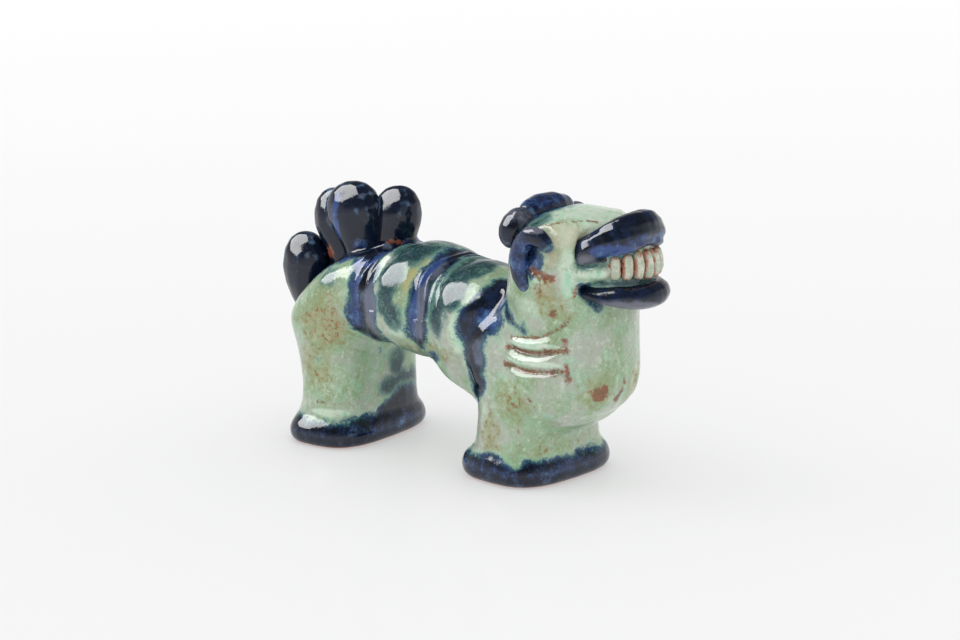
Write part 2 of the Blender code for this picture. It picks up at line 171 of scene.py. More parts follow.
def carve(a, b, width):
    """The first field with the second taken out of it, with an edge as soft as that width."""
    return -melt(-a, b, width)


def blur(values, sigma):
    """Gaussian blur over sigma samples."""
    radius = int(math.ceil(2.5 * sigma))
    offsets = np.arange(-radius, radius + 1)
    weights = np.exp(-0.5 * (offsets / sigma) ** 2)
    weights = (weights / weights.sum()).astype(np.float32)
    for axis in range(3):
        pad = [(0, 0)] * 3
        pad[axis] = (radius, radius)
        padded = np.pad(values, pad, mode="edge")
        result = np.zeros_like(values)
        for k, weight in enumerate(weights):
            cut = [slice(None)] * 3
            cut[axis] = slice(k, k + values.shape[axis])
            result += weight * padded[tuple(cut)]
        values = result
    return values


def hash_values(ix, iy, iz, seed):
    """Repeatable random numbers from -1 to 1 at whole-number positions."""
    n = ix.astype(np.uint32) * np.uint32(73856093)
    n ^= iy.astype(np.uint32) * np.uint32(19349663)
    n ^= iz.astype(np.uint32) * np.uint32(83492791)
    n ^= np.uint32((seed * 2654435761) % 4294967296)
    n ^= n >> np.uint32(13)
    n *= np.uint32(1274126177)
    n ^= n >> np.uint32(16)
    return (n & np.uint32(65535)).astype(np.float32) / 32767.5 - 1


def blend_corners(share, corner):
    """Blend of the values at the eight corners of the cell around each point."""
    total = 0
    for step in np.ndindex(2, 2, 2):
        x, y, z = (share[:, k] if step[k] else 1 - share[:, k] for k in range(3))
        total = total + x * y * z * corner(step)
    return total


def lumps(points, size, seed):
    """Smooth noise from -1 to 1 with features of that size in mm."""
    q = points / np.asarray(size, np.float32) + 100.0
    whole = np.floor(q).astype(np.int64)
    t = q - whole
    t = t * t * t * (t * (t * 6 - 15) + 10)
    return blend_corners(t, lambda step: hash_values(*(whole + step).T, seed))


def curve(points, steps=5):
    """Points on a smooth curve through the given ones."""
    p = [np.array(q, float) for q in points]
    p = [2 * p[0] - p[1]] + p + [2 * p[-1] - p[-2]]
    path = []
    for a, b, c, d in zip(p, p[1:], p[2:], p[3:]):
        for t in np.arange(steps) / steps:
            path.append(
                b + 0.5 * t * (c - a) + t * t * (a - 2.5 * b + 2 * c - 0.5 * d)
                + t**3 * (1.5 * b - 0.5 * a - 1.5 * c + 0.5 * d)
            )
    return np.array(path + [p[-2]])


def along(points, path, thick=0.0, far=12.0):
    """Distance from points to a path less its thickness, and the nearest place along it, from 0 to 1."""
    path = np.asarray(path, np.float32)
    thick = np.broadcast_to(np.asarray(thick, np.float32), (len(path),))
    best = np.full(len(points), far, np.float32)
    place = np.zeros(len(points), np.float32)
    margin = far + float(thick.max())
    low, high = path.min(0) - margin, path.max(0) + margin
    close = np.nonzero(((points > low) & (points < high)).all(1))[0]
    q = points[close]
    found, where = best[close], place[close]
    last = len(path) - 1
    for k in range(last):
        step = path[k + 1] - path[k]
        t = np.clip(((q - path[k]) @ step) / max(float(step @ step), 1e-9), 0, 1)
        away = q - path[k] - t[:, None] * step
        d = np.sqrt((away * away).sum(1)) - (thick[k] + (thick[k + 1] - thick[k]) * t)
        closer = d < found
        found[closer] = d[closer]
        where[closer] = (k + t[closer]) / last
    best[close] = found
    place[close] = where
    return best, place


def off(points, path):
    """Distance from points to a path."""
    return along(points, path)[0]


def stroke(points, *path):
    """Distance from points to a smooth curve through the given ones."""
    return off(points, curve(path))


def spot(points, centre, radii):
    """Distance to an ellipsoid, about right near its surface."""
    q = points - np.asarray(centre, np.float32)
    radii = np.asarray(radii, np.float32)
    k0 = np.sqrt(((q / radii) ** 2).sum(1))
    k1 = np.sqrt(((q / radii**2) ** 2).sum(1))
    return k0 * (k0 - 1) / np.maximum(k1, 1e-6)


def bump(x, width):
    """1 at zero, falling to nothing over about twice the width."""
    return np.exp(-((x / width) ** 2))


def on_right(points):
    """Positions mirrored onto the animal's right side (-X), where the marks are described."""
    mirrored = points.copy()
    mirrored[:, 0] = -np.abs(points[:, 0])
    return mirrored


# ---------------------------------------------------------------- marks in the clay, described on the right

REAR_SEAM = 19.0  # work Y of the seams across the back
FRONT_SEAM = -10.0
CHEST_Y = -85.5  # the front of the chest, on which its marks are described
SIDE_X = -27.0  # lines on the flank are drawn in this plane and pressed straight into the clay


def flank_line(*points):
    return curve([(SIDE_X, y, z) for y, z in points])


GILL_LINES = (
    flank_line((-52, 58.6), (-58, 59.2), (-65, 60.2), (-71.5, 63.2), (-77.5, 68.0)),
    flank_line((-50.5, 54.8), (-57, 53.8), (-64, 54.0), (-70.5, 55.4), (-76, 56.6)),
    flank_line((-50, 48.2), (-57, 46.8), (-64, 46.8), (-70.5, 47.6), (-76.5, 48.8)),
)
GILL_ROLLS = (
    flank_line((-50, 57.2), (-57, 56.4), (-64, 57.0), (-70.5, 58.8), (-76, 61.2)),
    flank_line((-49, 51.8), (-56, 50.2), (-64, 50.4), (-70.5, 51.6), (-76, 52.8)),
    flank_line((-51, 44.6), (-57, 43.6), (-64, 43.6), (-70.5, 44.4), (-75, 45.2)),
)
GILL_TICKS = (flank_line((-76, 60.0), (-76.5, 55.5)), flank_line((-76.5, 50.6), (-77, 45.4)))
BROW = curve(
    [(-28, -57, 98.0), (-22.6, -64, 101.6), (-18, -71, 103.2), (-11.5, -76, 103.6), (-8.5, -79, 103.0)]
)
NOTCH = flank_line((-62.8, 85.6), (-66.5, 84.2), (-71, 83.4))
NOTCH_TAIL = flank_line((-66.0, 84.2), (-66.6, 78.6))
SMILE = curve([(-22, -75.5, 31.2), (-18, -79.5, 30.0), (-12.5, -82.8, 31.0)])
CHEST_SCRATCH = curve([(2.2, -86, 41.6), (1.2, -86, 38), (-1.8, -85.4, 34.4)])
SHOULDER_BAND = curve(
    [(-14, -41, 74), (-22, -37.5, 68), (-27.5, -33.5, 58), (-28, -34.5, 47), (-22, -33.5, 34)]
)
DENTS = (  # (centre, radius, depth); a negative depth is a bulge
    ((-11.5, -84.5, 39), 3.2, 0.7),
    ((-26, -71.5, 70), 3.4, 0.5),
    ((-27, 33, 63), 7.0, 0.7),
    ((-28, 44, 36), 8.0, 0.5),
    ((-24, -78, 88), 3.5, -0.6),
    ((-27, -48, 27), 7.0, 0.5),
    ((0, -90, 26), 14.0, 1.2),
    ((-16, -88, 28), 12.0, 1.6),
    ((-27.5, -62, 91), 3.4, 1.8),
)


def seam_relief(points, y, seam, axis_z, ridges):
    """Raised strand of clay over a seam, with fine ridges drawn along it and a furrow to each side."""
    angle = np.arctan2(points[:, 2] - axis_z, points[:, 0])
    sway = 1.1 * np.sin(2.3 * angle + seam) + 0.7 * np.sin(5.1 * angle + 1.7 * seam)
    off = y - seam - sway
    relief = 0.9 * bump(off, 3.6) - 0.8 * bump(off - 5.6, 2.4) - 0.7 * bump(off + 5.6, 2.4)
    for place, height in ridges:
        relief += height * bump(off - place, 0.75)
    above = np.clip((points[:, 2] - 38.0) / 8.0, 0, 1)
    return relief * above


def flank(points):
    """Points pressed onto the plane in which the flank lines are drawn."""
    pressed = points.copy()
    pressed[:, 0] = SIDE_X
    return pressed


def clay_marks(points, distance):
    """Folds, seams, dents and finger marks in the main body."""
    p = on_right(points)
    q = flank(p)
    y, z = p[:, 1], p[:, 2]
    relief = 0.45 * lumps(points, 19.0, 3) + 0.12 * lumps(points, 8.5, 5) + 0.05 * lumps(points, 3.2, 8)
    relief += seam_relief(points, y, REAR_SEAM, 60.0, ((-1.6, 0.25), (1.9, 0.3)))
    relief += seam_relief(points, y, FRONT_SEAM, 59.0, ((-3.0, 0.35), (-0.4, 0.45), (2.4, 0.4)))
    for roll, height in zip(GILL_ROLLS, (0.75, 0.75, 0.35)):
        d, t = along(q, roll)
        relief += height * bump(d, 2.0) * np.clip(6 * t * (1 - t) + 0.1, 0, 1)
    for line, depth, width in zip(GILL_LINES, (0.5, 1.1, 0.8), (0.8, 1.1, 0.9)):
        d, t = along(q, line)
        relief -= depth * bump(d, width) * np.clip(8 * t * (1 - t) + 0.1, 0, 1)
    relief -= 0.9 * bump(off(q, NOTCH), 1.2)
    relief -= 0.4 * bump(off(q, NOTCH_TAIL), 1.0)
    for tick in GILL_TICKS:
        relief -= 0.5 * bump(off(q, tick), 0.7)
    relief += 0.5 * bump(off(p, BROW), 2.2)
    relief -= 1.0 * bump(off(p, SMILE), 1.8)
    relief -= 0.5 * bump(off(points, CHEST_SCRATCH), 0.7)
    for centre, radius, depth in DENTS:
        away = np.sqrt(((p - np.asarray(centre, np.float32)) ** 2).sum(1))
        relief -= depth * bump(away, radius)
    relief -= 2.5 * bump(z - 25.5, 5.5) * np.clip((-70 - y) / 8, 0, 1)  # under the chest
    return distance - relief * np.clip((z - 1.0) / 4.0, 0, 1)


# ---------------------------------------------------------------- colour of the glaze


MARK_DEPTH = 8  # mm within which a mark tells how deep a point lies in it
WASHES = {  # soft patches of colour, among them painted highlights and painted shade: how soft their edges are, and (centre, radii, strength) of each
    "stain": (0.9, (
        ((-27, 41, 50), (9, 12, 10), 0.95),
        ((-27, 46, 33), (8, 9, 10), 0.7),
        ((-27, 36, 58), (6, 9, 9), 0.6),
        ((-24, -10, 47), (9, 16, 5), 0.6),
        ((-26, -69, 76), (6, 5, 8), 0.75),
        ((-26, -70, 92), (6, 4, 6), 0.6),
        ((-24, -74, 72), (6, 6, 6), 0.5),
        ((-26, -43, 20), (5, 5, 9), 0.7),
        ((-26, -54, 33), (6, 9, 9), 0.55),
        ((-12, -83, 39), (9, 6, 8), 0.55),
        ((-20, -73, 100), (9, 9, 6), 0.5),
        ((-12, -62, 14), (16, 8, 4), 0.4),
        ((0, 62, 40), (20, 12, 16), 0.4),
        ((20, -60, 90), (9, 20, 12), 0.3),
    )),
    "light": (1.0, (
        # painted highlight: a lighter band down the edge where the side of the head turns to the front
        ((-24, -77, 86), (4, 3.5, 12), 0.8),
        ((-22, -74, 99), (6, 6, 4), 0.9),
        ((0, -66, 107), (26, 20, 10), 1.5),
        ((-27, 38, 28), (8, 12, 8), 0.5),
        # painted highlights: lighter bands along the two upper gill rolls
        ((-27, -64, 57.3), (6, 13, 1.6), 1.0),
        ((-27, -64, 50.6), (6, 13, 1.6), 1.0),
        ((-28, -66, 82), (4, 3, 2), 0.8),
        ((-28, 2, 55), (5, 7, 5), 0.7),
        ((-26, -27, 58), (6, 4, 10), 0.9),
        ((-24, -33, 68), (6, 4, 5), 0.7),
        ((-26, -40, 24), (5, 3, 8), 0.6),
        # painted highlight: a lighter band along the top edge of the rear foot
        ((-24, 40, 14.0), (7, 9, 1.8), 1.0),
        ((-24, -62, 72), (8, 10, 4), 0.5),
        ((-19, -84, 86), (6, 7, 3), 0.8),
        ((-19.5, -82, 82.0), (3, 6, 1.2), 1.0),
        ((-27, -52, 40), (5, 5, 6), 0.5),
    )),
    "cream": (1.0, (
        ((-22, -73, 99), (8, 7, 6), 1.0),
        ((-26, -71, 91), (5, 4, 5), 0.6),
    )),
    "ochre": (1.0, (
        ((-23, -2.5, 74), (6, 4.0, 7), 1.0),
        ((-14, -3, 80.5), (7, 3, 4), 0.7),
    )),
    "lilac": (1.2, (
        ((-27, 15.5, 60), (7, 4.5, 12), 1.0),
        ((-24, 27, 74), (6, 5, 5), 0.5),
        ((-25, -8.5, 64), (8, 2.6, 13), 0.9),
        ((-16, -8.5, 77), (8, 2.6, 6), 0.7),
        ((-27, -38, 51), (5, 4, 7), 0.6),
        ((-22, -44, 66), (5, 4, 5), 0.8),
        ((-14, 20, 81), (8, 3, 5), 0.6),
    )),
    "sky": (1.2, (
        ((-16, 21, 80.5), (12, 1.6, 6), 1.0),
        ((-23, 30, 73.5), (5, 6, 2.4), 0.8),
        ((-16, -6.5, 77), (12, 1.8, 7), 1.0),
        ((-26, -5.5, 62), (5, 1.6, 10), 0.9),
        ((-24, -44, 61.8), (4, 3, 3), 1.0),
        ((-20, -45, 68), (5, 3, 4), 0.9),
        ((-14, 20, 80), (14, 3, 4), 0.6),
        ((-27, 24, 62), (7, 3.4, 14), 0.62),
        ((-24, -38, 64), (6, 5, 5), 0.6),
        ((-4.5, -92, 99.5), (4, 4, 1.6), 0.8),
        ((0, -46, 6), (34, 26, 6), 0.45),
        ((0, 46, 6), (34, 26, 6), 0.45),
        ((-15, -91, 94.5), (8, 9, 3.0), 0.9),
        ((-4, -96, 98), (9, 6, 3.5), 0.5),
        ((-28, -60, 92), (5, 9, 12), 0.5),
        ((0, -51, 108), (24, 8, 5), 0.45),
        ((-13, 45, 93), (2.2, 2.0, 12), 1.0),
        ((-20, 31, 76), (4, 9, 2.5), 0.9),
        ((-8, 36, 82), (5, 4, 3), 0.6),
        ((-26.5, -59, 87), (4, 2.4, 3), 0.7),
    )),
    "grey": (1.2, (
        ((-10, -97, 92), (14, 8, 3.6), 1.0),
        ((-19.5, -82, 88.5), (5, 4, 4.6), 1.0),
        ((-12, -96, 73), (14, 12, 3.0), 1.0),
        ((-29, -64, 101.5), (3, 5, 1.6), 0.9),
        ((-20, -51, 104), (5, 8, 5), 0.6),
        ((-24, 16.5, 50), (6, 4, 9), 0.8),
    )),
    # painted shade: a darker green where shade falls, on the rear legs' faces under the belly, low on the
    # flank above the belly and where the neck meets the head; on the rear legs it is partly the glaze's own
    # darker green
    "dusk": (1.0, (
        ((15, 30, 34), (18, 8, 14), 0.8),
        ((-20, 8, 44), (14, 20, 6), 0.6),
        ((-24, -54, 70), (5, 5, 6), 0.6),
    )),
}


def inside(*fields):
    """How deep in any of these marks a point is, in mm; negative outside them."""
    return -np.minimum.reduce(fields)


def wash(points, softness, marks):
    """How strongly soft patches of colour cover each point."""
    total = np.zeros(len(points), np.float32)
    for centre, radii, strength in marks:
        d = spot(points, centre, radii)
        total = np.maximum(total, strength * np.clip(0.5 - d / (softness * min(radii)), 0, 1))
    return total


def blue_marks(points, p, wobble):
    """Distances to the blue glaze: feet, bands over the back, ears, mane, lips and loose spots."""
    q = flank(p)
    y, z = p[:, 1], p[:, 2]
    streak = lumps(points, (4.0, 4.0, 16.0), 23)
    edge = np.where(y < 0, 10.6, 11.4) + wobble + 1.4 * streak + 0.8 * lumps(points, 5.0, 24)
    edge += 9.0 * bump(y - 27, 7.0) * np.clip((points[:, 0] + 10) / 14, 0, 1) * (y > 0)
    high = np.clip((z - 64) / 14, 0, 1)
    rear_band = np.abs(y - REAR_SEAM - 1.5 - 3.0 * high) - (6.6 + wobble)
    front_band = np.abs(y - FRONT_SEAM - 2.4) - (4.8 + 0.8 * wobble)
    rump_line = stroke(p, (-14, 20, 81), (-15, 33, 79), (-18, 45, 73.5), (-14, 60, 62))
    d, t = along(p, SHOULDER_BAND)
    return (
        z - edge,
        rear_band + np.clip(50 - z, 0, 30) * 0.9,
        front_band + np.clip(52 - z, 0, 30) * 0.7,
        d - (8.6 - 4.6 * t) - wobble,
        spot(p, (-25, -39, 64), (6, 8, 5)) - wobble,
        stroke(p, (-21, -49, 69), (-27, -55, 62.4), (-27.5, -59, 62.4)) - 2.6 - wobble,
        rump_line - 4.4 - 1.6 * wobble - 1.5 * streak,
        spot(points, (0, 42, 78), (17, 30, 12)) - wobble,
        off(q, flank_line((-8.0, 54), (-8.6, 49))) - 0.8,
        spot(p, (-22, -11.5, 44.2), (3, 1.8, 1.7)),
        stroke(p, (-18.5, -80, 80.5), (-18.5, -84, 78), (-14, -85.5, 73.5)) - 2.4 - 0.5 * wobble,
        spot(p, (-27, -61, 90), (3.4, 6.0, 7.5)) - 0.4 * wobble,
        spot(p, (-21, 14, 46.5), (5, 6, 2.6)) - 0.5 * wobble,
        stroke(p, (-24, -52, 97), (-17, -56, 104), (-8, -57, 107), (4, -57, 107)) - 2.6 - wobble,
        spot(p, (0, -46, 103), (26, 8, 9)) - wobble,
        spot(p, (-26, -60, 92), (4.5, 5.5, 8)),
    )


def teal_marks(points, p, wobble):
    """Distances to the teal glaze: a saddle on each part of the back, the forehead and the haunch, and a
    band of painted shade along the gum.
    """
    return (
        spot(p, (-12, 6, 84), (18, 9.5, 8)) - 1.2 * wobble,
        spot(p, (-24, 8, 74), (8, 6.0, 9)) - wobble,
        spot(p, (-27, 8, 66), (7, 4.5, 8)) - wobble,
        spot(p, (-27, 4, 60), (5, 5, 5)) - wobble,
        spot(p, (-8, -19, 80), (19, 9.5, 8)) - 1.2 * wobble,
        spot(p, (-22, -20, 72), (8, 8.5, 8)) - wobble,
        spot(p, (-27, -17, 62), (7, 4, 8)) - wobble,
        spot(p, (-18, -57.5, 101.5), (10, 5.5, 6)) - wobble,
        spot(points, (0, -57, 106), (18, 4.5, 5)) - wobble,
        spot(points, (4, 28, 31), (4, 6, 6)) - 0.6 * wobble,
        spot(points, (10, 30, 22), (16, 8, 5)) - wobble,
        spot(p, (0, -84, 82), (18, 17, 2.6)) - 0.6 * wobble,
        # painted shade: a teal band along the gum, under the overhang of the upper lip
        stroke(p, (-20, -79, 88.5), (-19, -84, 89), (-16, -90, 91), (-8, -95, 93)) - 1.2,
        spot(p, (-24, 38, 69), (3, 5, 3)) - wobble,
    )


def rust_marks(points, p):
    """Distances to the bare, rust-brown lines and spots where glaze broke off edges."""
    q = flank(p)
    y = p[:, 1]
    front = points.copy()
    front[:, 1] = np.where(y < -76, CHEST_Y, y)
    gum = spot(p, (0, TOOTH_ARC_Y, 89), (19, 22, 4.6))
    return (
        *(off(q, line) - width for line, width in zip(GILL_LINES, (0.1, 0.8, 0.5))),
        *(off(q, line) - 0.5 for line in GILL_TICKS),
        off(p, BROW) + 0.1,
        off(q, NOTCH) - 1.1,
        off(q, NOTCH_TAIL) - 0.2,
        off(front, CHEST_SCRATCH) - 0.8,
        stroke(p, (-27, 45, 17.6), (-26.4, 38, 17.8), (-21, 33, 18)) + 0.2,
        spot(front, (-11.0, CHEST_Y, 38.5), (3.8, 2.5, 2.8)),
        spot(p, (-26, -72, 70), (2, 2.4, 1.6)) + 0.3,
        spot(p, (-26, -54, 33.5), (2, 1.6, 1.6)) + 0.8,
        spot(p, (-26, -62, 35.5), (2, 1.4, 1.4)) + 0.8,
        spot(p, (-21.5, -79, 79.0), (1.6, 1.6, 2.6)) + 0.9,
        spot(points, (-5, 52.5, 77), (5, 3, 4)),
        spot(points, (1, 24, 83), (8, 4, 1.6)) + 0.9,
        np.maximum(gum, y + 89.0) + 0.6,
    )


def glaze_marks(points, pooled_blue=None):
    """Where each glaze colour lies, as soft values that the material turns into colour.

    A piece that is blue all over says how deep its blue is; it is thinner at the ear ends and on the mane.
    """
    p = on_right(points)
    wobble = 1.5 * lumps(points, 9.0, 21) + 0.8 * lumps(points, 3.5, 22)
    blue_depth = inside(*blue_marks(points, p, wobble))
    if pooled_blue:
        thin = 7.0 * bump(spot(p, (-26.5, -71.5, 93.5), (3, 3, 3)), 2.0)
        thin += 5.0 * bump(spot(p, (-20, -56.5, 99), (8, 1.5, 4)), 2.0)
        thin += 4.0 * bump(spot(p, (-25.5, -59, 78.5), (3, 3, 2)), 2.0)
        blue_depth = np.maximum(blue_depth - thin, pooled_blue + wobble - thin)
    depths = {
        "blue": blue_depth,
        "teal": inside(*teal_marks(points, p, wobble)),
        "rust": inside(*rust_marks(points, p)),
    }
    marks = {name: np.clip(depth, -MARK_DEPTH, MARK_DEPTH) for name, depth in depths.items()}
    for name, (softness, patches) in WASHES.items():
        marks[name] = wash(p, softness, patches)
    return marks


def store(obj, values):
    for name, data in values.items():
        layer = obj.data.attributes.new(name, "FLOAT", "POINT")
        layer.data.foreach_set("value", np.ascontiguousarray(data, np.float32))


def edge_wear(block, points):
    """Positive where a piece bulges and the glaze runs thin, negative in its hollows."""
    softened = blur(block.values, WEAR_SPREAD / block.voxel)
    q = points / block.voxel - block.first
    whole = np.clip(np.floor(q).astype(int), 0, np.array(block.shape) - 2)
    total = blend_corners(q - whole, lambda step: softened[tuple((whole + step).T)])
    total = total - np.median(total)
    return np.clip(total / np.percentile(np.abs(total), 90), -1.5, 1.5)


# ---------------------------------------------------------------- the pieces

WEAR_SPREAD = 1.6  # mm over which bulges and hollows are felt
BODY_BOX = (-38, -104, -3), (38, 84, 116)  # room for the whole body
MASS_BLUR = 1.5  # mm of softening once the main masses are joined
BODY_BLUR = 0.7  # mm of softening once everything is joined
PIECE_BLUR = 0.6
TOOTH_BLUR = 0.5
PIECE_SWELL = 0.25  # mm of glaze and clay over the CAD node, which also makes up for the softening
LIP_SWELL = 0.55
TOOTH_SWELL = 0.45
POOLED_BLUE = 6.0  # mm, the depth of blue as a mark on a piece that is blue all over
TAIL_POOLED_BLUE = 7.5
PINCH_EDGE = 1.6  # softness of the rim of a flat
TOOTH_HALF_WIDTH = 2.2
TOOTH_HALF_HEIGHT = 5.5

ADDED = (
    "upper_lip", "lower_lip", "ear_right", "ear_left", "mane_top", "mane_lobe_right", "mane_lobe_left",
    "tail_pad", "tail_lobe_front", "tail_lobe_centre", "tail_lobe_rear", "tail_lobe_low",
)
MELTED = (  # the main masses and the width of the fillet that joins each to the ones before it
    ("torso_rump", 3.0), ("torso_middle", 3.0), ("torso_shoulder", 3.0), ("rear_leg_slab", 6.0),
    ("front_leg_slab", 6.0), ("chest", 6.0), ("head", 4.0), ("rear_foot", 2.6), ("front_foot", 2.6),
)
TAIL_ROOTS = {  # where each tail lobe grows out of the rump: (from, to, thickness at each end)
    "tail_lobe_front": ((3, 30, 76), (4.5, 28, 91), (8.5, 8.0)),
    "tail_lobe_centre": ((-1, 38, 74), (-4, 42, 91), (9.5, 9.0)),
    "tail_lobe_rear": ((0, 46, 68), (-1, 54, 87), (9.0, 8.4)),
    "tail_lobe_low": ((-3, 62, 52), (-6, 67, 68), (8.6, 8.0)),
}
PINCHED = {  # flats that thumb and finger left: (direction the flat faces, how deep it is pressed in)
    "tail_lobe_front": ((-0.83, -0.08, 0.55), 1.1),
    "tail_lobe_centre": ((-0.83, -0.12, 0.54), 0.6),
    "tail_lobe_rear": ((-0.82, 0.00, 0.57), 0.5),
    "tail_lobe_low": ((-0.83, -0.04, 0.55), 0.7),
    "lower_lip": ((-0.76, -0.13, 0.64), 1.9),
}
CHEEK = curve([(-19.0, -76, 84.0), (-18.0, -82, 85.2), (-16.2, -87, 86.4), (-15.0, -89, 87.0)])
ARMPIT = curve([(-13, -19, 41), (-13, -25, 36), (-13, -30, 30)])


def tube(path, thick, voxel):
    """A block with a rolled strand whose thickness changes evenly along it."""
    path = np.asarray(path, float)
    margin = max(thick) + 7
    block = Block(path.min(0) - margin, path.max(0) + margin, voxel)
    points = (np.indices(block.shape).reshape(3, -1).T + block.first) * voxel
    thick = np.interp(np.linspace(0, 1, len(path)), np.linspace(0, 1, len(thick)), thick)
    distance = along(points.astype(np.float32), path, thick, REACH * voxel)[0]
    block.values = distance.reshape(block.shape)
    return block


def both(path):
    """A path and its mirror image on the left."""
    return path, path * (-1, 1, 1)


def piece_block(node, voxel):
    """A CAD node with what its clay has besides: a tail lobe's root in the rump, and pinched flats."""
    low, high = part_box(node)
    margin, root_margin = 7.5, 12
    low = np.array(low) / MM - (0, WORK_Y, 0) - margin
    high = np.array(high) / MM - (0, WORK_Y, 0) + margin
    root = TAIL_ROOTS.get(node)
    if root:
        low = np.minimum(low, np.array(root[0]) - root_margin)
        high = np.maximum(high, np.array(root[0]) + root_margin)
    block = Block(low, high, voxel)
    block.values = block.node(node)
    if root:
        block.melt_in(tube(root[:2], root[2], voxel), 0.0, 5.0)
    if node in PINCHED:
        facing, depth = PINCHED[node]
        facing = np.array(facing) / math.sqrt(sum(n * n for n in facing))
        index, points = block.near(REACH * voxel)
        height = points @ facing
        top = height[block.values[index] < 0].max()
        beyond = (top - depth - height).astype(np.float32)
        block.values[index] = carve(block.values[index], beyond, PINCH_EDGE)
    return block


def make_body():
    block = Block(*BODY_BOX, BODY_VOXEL)
    for name, width in MELTED:
        block.melt_in(piece_block(name, BODY_VOXEL), 0.0, width)
    for path in both(ARMPIT):
        block.melt_in(tube(path, (8.0, 6.0, 2.5), BODY_VOXEL), 0.0, 6.0)
    block.values = blur(block.values, MASS_BLUR / BODY_VOXEL)
    block.melt_in(piece_block("gum", BODY_VOXEL), -0.1, 2.4)
    for path in both(CHEEK):
        block.melt_in(tube(path, (3.4, 3.4, 2.6, 1.2), BODY_VOXEL), 0.0, 2.0)
    for name in ADDED:
        block.melt_in(piece_block(name, BODY_VOXEL), 1.5 if "ear" in name else 1.0, 3.2)
    block.values = blur(block.values, BODY_BLUR / BODY_VOXEL)
    index, points = block.near(SKIN)
    block.values[index] = clay_marks(points, block.values[index])
    ground = -(np.arange(block.shape[2]) + block.first[2]) * BODY_VOXEL
    block.values = np.maximum(block.values, ground[None, None, :].astype(np.float32))
    obj, points = block.mesh("glazed_body")
    marks = glaze_marks(points)
    marks["wear"] = edge_wear(block, points)
    store(obj, marks)
    names = [name for name, width in MELTED]
    names += ["gum", "seam_hoop_rear", "seam_hoop_front"]
    names += ["shoulder_strand_right", "shoulder_strand_left"]
    names += [f"neck_fold_{k}_{side}" for k in (1, 2, 3) for side in ("right", "left")]
    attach(obj, "root")
    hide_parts(*names)
    obj.data.materials.append(glaze)


def lip_crease(points, lift):
    """A soft crease along the lower third of a lip, round the front of the muzzle."""
    away = np.sqrt(points[:, 0] ** 2 + ((points[:, 1] - MOUTH_Y) * 0.85) ** 2)
    height = points[:, 2] - lift - 0.55 * (MOUTH_Y - points[:, 1])
    return 0.55 * bump(height, 1.1) * np.clip((away - 15) / 3, 0, 1)


def make_piece(node):
    block = piece_block(node, PIECE_VOXEL)
    swell = LIP_SWELL if "lip" in node else PIECE_SWELL
    block.values = blur(block.values, PIECE_BLUR / PIECE_VOXEL) - swell
    index, points = block.near(SKIN)
    uneven = 0.8 if node == "upper_lip" else 0.22
    marks = uneven * lumps(points, 8.0, 31) + 0.07 * lumps(points, 3.6, 32)
    if node == "upper_lip":
        marks += lip_crease(points, 84.0) - 1.5 * lip_crease(points, 87.0)
    block.values[index] = block.values[index] - marks
    obj, points = block.mesh(node + "_glazed")
    marks = glaze_marks(points, TAIL_POOLED_BLUE if "tail" in node else POOLED_BLUE)
    marks["wear"] = edge_wear(block, points)
    store(obj, marks)
    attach(obj, "root")
    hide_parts(node)
    obj.data.materials.append(glaze)


def make_tooth(node):
    block = piece_block(node, PIECE_VOXEL)
    block.values = blur(block.values, TOOTH_BLUR / PIECE_VOXEL) - TOOTH_SWELL
    index, points = block.near(3.0)
    block.values[index] -= 0.22 * lumps(points, 2.6, 41)
    obj, points = block.mesh(node + "_glazed")
    centre = points.mean(0)
    away = centre[:2] - (0, TOOTH_ARC_Y)
    away = away / np.sqrt((away**2).sum())
    sideways = np.abs((points[:, :2] - centre[:2]) @ np.array([-away[1], away[0]])) / TOOTH_HALF_WIDTH
    height = np.abs(points[:, 2] - centre[2]) / TOOTH_HALF_HEIGHT
    store(obj, {"gap": np.maximum(sideways, height)})
    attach(obj, "root")
    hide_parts(node)
    obj.data.materials.append(tooth_glaze)


# ---------------------------------------------------------------- glaze material


